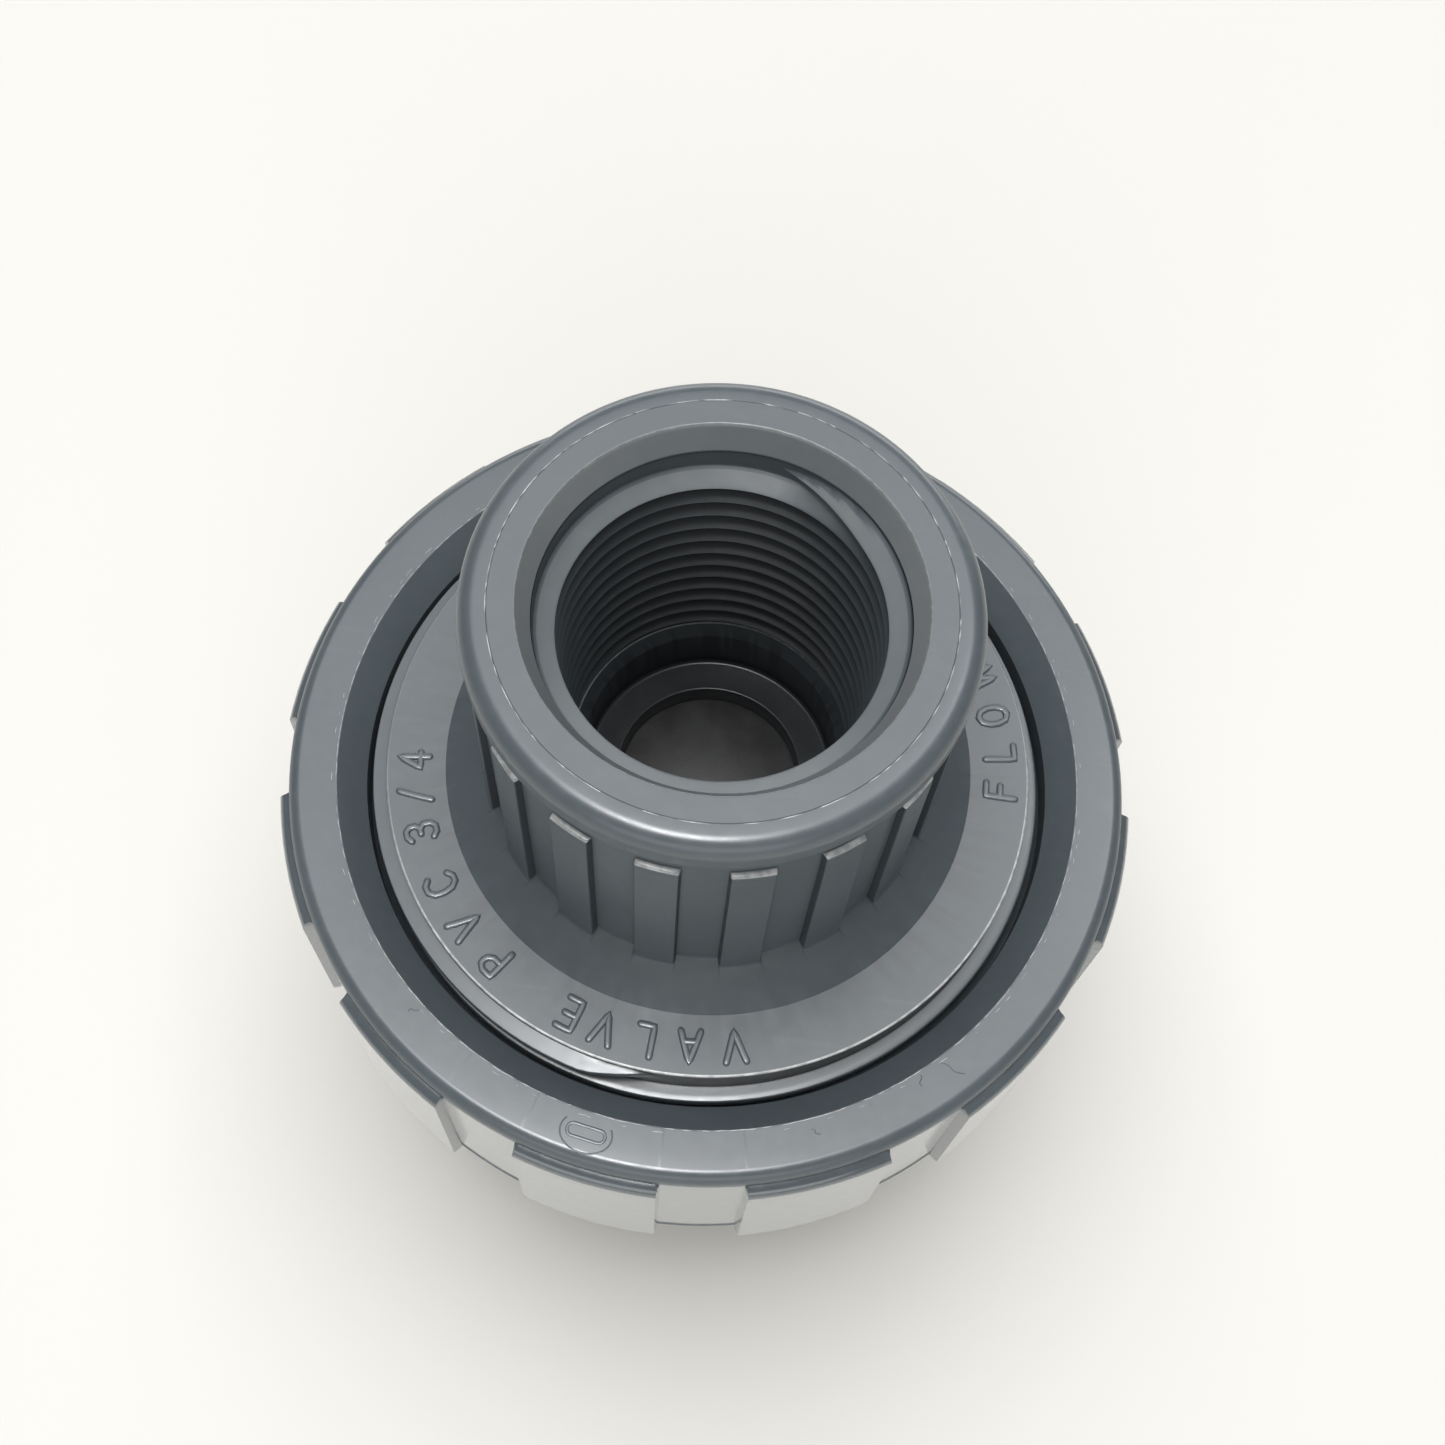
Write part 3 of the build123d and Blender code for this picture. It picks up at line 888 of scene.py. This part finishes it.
def math_node(tree, operation, a, b):
    return put(tree, "ShaderNodeMath", {0: a, 1: b}, operation=operation).outputs[0]


def mix_colour(tree, fac, a, b):
    node = put(tree, "ShaderNodeMix", {"Factor": fac}, data_type="RGBA")
    for key, value in (("A", a), ("B", b)):
        socket = [s for s in node.inputs if s.name == key and s.type == "RGBA"][0]
        join(tree, value, socket)
    return [s for s in node.outputs if s.type == "RGBA"][0]


def scaled(colour, by):
    return (*(channel * by for channel in colour[:3]), 1)


def add_bump(tree, shader, strength, distance, height):
    bump = put(tree, "ShaderNodeBump", {"Strength": strength, "Distance": distance, "Height": height})
    join(tree, bump.outputs[0], shader.inputs["Normal"])


def moulded_pvc(name, light, dark, rough, coat=0.0):
    """Grey moulded PVC: faint flow mottling, a fine grain, scuffs, and the white and dark of the attribute:
    rubbed wear, painted highlight and painted reflection in white, real marks and painted shade in black.
    """
    material, tree, shader = new_material(name)
    place = put(tree, "ShaderNodeTexCoord").outputs["Object"]
    mottle = noise(tree, place, 90.0, 5.0)
    cloud = noise(tree, place, 900.0, 3.0)
    grain = noise(tree, place, 5200.0, 2.0)
    base = mix_colour(tree, remap(tree, mottle, 0.3, 0.7, 0.0, 1.0), dark, light)
    fleck = remap(tree, cloud, 0.45, 0.75, 0.0, 0.35)
    base = mix_colour(tree, fleck, base, scaled(light, 1.12))
    turned = put(
        tree,
        "ShaderNodeMapping",
        {"Vector": place, "Scale": (60.0, 900.0, 400.0), "Rotation": (0.0, 0.0, 0.6)},
    )
    scratch = noise(tree, turned.outputs[0], 1.0, 3.0)
    scuffed = remap(tree, scratch, 0.62, 0.7, 0.0, 0.1)
    base = mix_colour(tree, scuffed, base, scaled(light, 1.5))
    wear_and_light_values = put(tree, "ShaderNodeAttribute", attribute_name="wear_and_light").outputs["Fac"]
    # strong white, of rubbed wear and painted highlight, is broken into patches, while faint white is even
    patchy = remap(tree, noise(tree, place, 1500.0), 0.35, 0.6, 0.5, 1.0)
    patchy = math_node(tree, "MAXIMUM", patchy, remap(tree, wear_and_light_values, 0.2, 0.4, 1.0, 0.0))
    base = mix_colour(tree, math_node(tree, "MULTIPLY", wear_and_light_values, patchy), base, RUBBED_AND_HIGHLIGHT_WHITE)
    # negative values mix in black: real mould marks, and painted shade in recesses
    darkening = math_node(tree, "MULTIPLY", wear_and_light_values, -1.0)
    base = mix_colour(tree, darkening, base, MARK_AND_SHADE_BLACK)
    join(tree, base, shader.inputs["Base Color"])
    roughness = remap(tree, cloud, 0.3, 0.7, rough - 0.02, rough + 0.04)
    roughness = math_node(tree, "ADD", roughness, math_node(tree, "MULTIPLY", scuffed, 0.2))
    join(tree, roughness, shader.inputs["Roughness"])
    # the specular level falls where the attribute is dark, with the painted shade and the marks, so those
    # places reflect less too
    join(tree, remap(tree, wear_and_light_values, -0.9, -0.15, 0.08, 0.5), shader.inputs["Specular IOR Level"])
    shader.inputs["IOR"].default_value = 1.52
    shader.inputs["Coat Weight"].default_value = coat
    shader.inputs["Coat Roughness"].default_value = 0.12
    height = math_node(tree, "ADD", math_node(tree, "MULTIPLY", grain, 0.5), cloud)
    add_bump(tree, shader, remap(tree, wear_and_light_values, -0.5, 0.0, 0.0, 0.035), 0.00002, height)
    return material


def moulded_rubber(name, colour, rough):
    """Black moulded rubber with a fine dusty bloom."""
    material, tree, shader = new_material(name)
    place = put(tree, "ShaderNodeTexCoord").outputs["Object"]
    bloom = noise(tree, place, 420.0, 5.0)
    grain = noise(tree, place, 7000.0, 2.0)
    base = mix_colour(tree, remap(tree, bloom, 0.4, 0.75, 0.0, 0.6), colour, scaled(colour, 3))
    join(tree, base, shader.inputs["Base Color"])
    join(tree, remap(tree, bloom, 0.3, 0.7, rough, rough + 0.12), shader.inputs["Roughness"])
    add_bump(tree, shader, 0.3, 0.00005, grain)
    return material


body_pvc = moulded_pvc("body_pvc_grey", PVC_LIGHT, PVC_DARK, 0.3)
nut_pvc = moulded_pvc("nut_pvc_grey", PVC_LIGHT, PVC_DARK, 0.3)
nut_wall = moulded_pvc("nut_wall_grey", PVC_LIGHT, PVC_DARK, 0.2, coat=1.0)
support_pvc = moulded_pvc("support_pvc_grey", SUPPORT_LIGHT, SUPPORT_DARK, 0.42)
rubber = moulded_rubber("rubber_black", RUBBER_BLACK, 0.5)

# ---- the pieces ----
build_inlet(body_pvc)
build_outlet(body_pvc)
build_nut(nut_pvc, nut_wall)
build_lettering(body_pvc)
build_mould_marks(nut_pvc)
build_flash("nut_edge_flash", nut_pvc, 30.2, 0.045, 3, 0.2)
build_flash("nut_inner_flash", nut_pvc, 30.55, 0.03, 8, 0.66)
build_o_ring(rubber)
build_diaphragm(rubber)

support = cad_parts["support_disc"]
for material_slot in support.material_slots:
    material_slot.material = support_pvc

# ---- floor, light and camera, in metres ----
FLOOR_HALF = 3.0
floor_mesh = bpy.data.meshes.new("floor")
corners = [(x * FLOOR_HALF, y * FLOOR_HALF, 0) for x, y in ((-1, -1), (1, -1), (1, 1), (-1, 1))]
floor_mesh.from_pydata(corners, [], [(0, 1, 2, 3)])
floor = bpy.data.objects.new("floor", floor_mesh)
bpy.context.scene.collection.objects.link(floor)
floor_material, tree, shader = new_material("floor_white")
place = put(tree, "ShaderNodeTexCoord").outputs["Object"]
tint = mix_colour(tree, noise(tree, place, 6.0), (0.87, 0.855, 0.81, 1), (0.85, 0.835, 0.79, 1))
join(tree, tint, shader.inputs["Base Color"])
shader.inputs["Roughness"].default_value = 0.7
floor_mesh.materials.append(floor_material)

world = bpy.data.worlds.new("studio")
bpy.context.scene.world = world
world.use_nodes = True
world.node_tree.nodes["Background"].inputs[0].default_value = (0.95, 0.97, 1.0, 1)
world.node_tree.nodes["Background"].inputs[1].default_value = 0.11


def softbox(name, place, size, watts, colour, diffuse=True, glossy=True):
    """A rectangular lamp aimed at the middle of the object."""
    light = bpy.data.lights.new(name, "AREA")
    light.shape = "RECTANGLE"
    light.size, light.size_y = size
    light.energy = watts
    light.color = colour
    box = bpy.data.objects.new(name, light)
    bpy.context.scene.collection.objects.link(box)
    box.location = place
    box.rotation_mode = "QUATERNION"
    box.rotation_quaternion = (Vector((0, 0, 0.045)) - Vector(place)).to_track_quat("-Z", "Y")
    box.visible_camera = False
    box.visible_diffuse = diffuse
    box.visible_glossy = glossy


DAYLIGHT = (0.98, 0.99, 1.0)
WARM_WALL = (1.0, 0.99, 0.97)
softbox("ceiling", (-0.06, 0.28, 1.0), (1.0, 0.9), 8.4, DAYLIGHT)
softbox("fill", (0.0, -0.5, 1.35), (2.0, 2.0), 11.8, WARM_WALL, glossy=False)
softbox("lamp_over", (-0.08, -0.15, 1.25), (0.3, 0.22), 14.3, DAYLIGHT, diffuse=False)
softbox("lamp_side", (0.44, 0.4, 1.05), (0.26, 0.26), 1.6, DAYLIGHT, diffuse=False)
softbox("wall_front", (0.0, -1.3, 0.55), (1.6, 0.7), 6.0, WARM_WALL)
softbox("wall_back", (0.1, 1.4, 0.25), (2.0, 0.5), 12.0, (0.97, 0.99, 1.0), diffuse=False)

# the camera leans down from the front and rolls a little
CAMERA_PLACE = (0.00075, -0.05581, 0.18299)
CAMERA_ELEVATION = math.radians(66.334)
CAMERA_ROLL = math.radians(5.946)
camera_data = bpy.data.cameras.new("camera")
camera_data.sensor_width = 36
camera_data.lens = 44.5
camera_data.clip_start = 0.01
camera = bpy.data.objects.new("camera", camera_data)
bpy.context.scene.collection.objects.link(camera)
level = Vector((1, 0, 0))
upward = Vector((0, math.sin(CAMERA_ELEVATION), math.cos(CAMERA_ELEVATION)))
back = Vector((0, -math.cos(CAMERA_ELEVATION), math.sin(CAMERA_ELEVATION)))
right = level * math.cos(CAMERA_ROLL) + upward * math.sin(CAMERA_ROLL)
over = upward * math.cos(CAMERA_ROLL) - level * math.sin(CAMERA_ROLL)
turned = Matrix((right, over, back)).transposed()
camera.matrix_world = Matrix.Translation(CAMERA_PLACE) @ turned.to_4x4()
bpy.context.scene.camera = camera
bpy.context.scene.view_settings.view_transform = "Standard"
